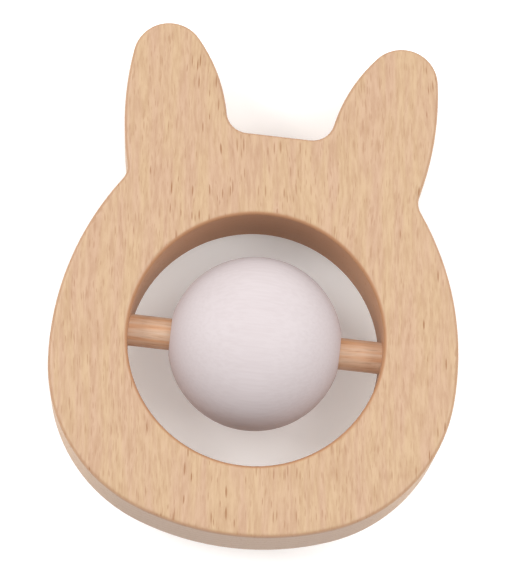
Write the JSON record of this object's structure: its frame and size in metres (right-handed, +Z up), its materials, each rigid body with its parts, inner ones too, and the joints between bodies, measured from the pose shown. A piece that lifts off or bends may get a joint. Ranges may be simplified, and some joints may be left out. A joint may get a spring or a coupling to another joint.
{
  "type": "teething ring",
  "caption": "Flat wooden animal-head ring with two ears and a round opening, crossed by a dowel that carries a painted wooden ball free to turn and slide.",
  "frame": {"origin": "centre of the bounding box's bottom: on the surface that the ring lies on", "axes": "+X along the dowel, +Y from the chin towards the ears, +Z up from the surface; the plate leans 8.5 degrees, ears down, because the ring lies on its ball and both ear tips"},
  "size_m": [0.0815, 0.1042, 0.035],
  "materials": {
    "beech": "oiled satin beech, fine short flecks along the ears",
    "plug_wood": "sanded end grain",
    "dowel_wood": "satin, grain along the dowel",
    "ball_paint": "matt pale pink-grey paint on wood"
  },
  "bodies": {
    "frame": {"bunny_frame": "beech", "hole_plug": "plug_wood"},
    "axle": {"axle_dowel": "dowel_wood"},
    "bead": {"ball": "ball_paint"}
  },
  "joints": [
    {"name": "dowel_turn", "type": "hinge", "parent": "frame", "child": "axle", "pos_m": [0, -0.01103, 0.0175], "axis": [1, 0, 0], "continuous": true},
    {"name": "ball_slide", "type": "slide", "parent": "axle", "child": "bead", "axis": [1, 0, 0], "range_m": [-0.0076, 0.0076]}
  ]
}
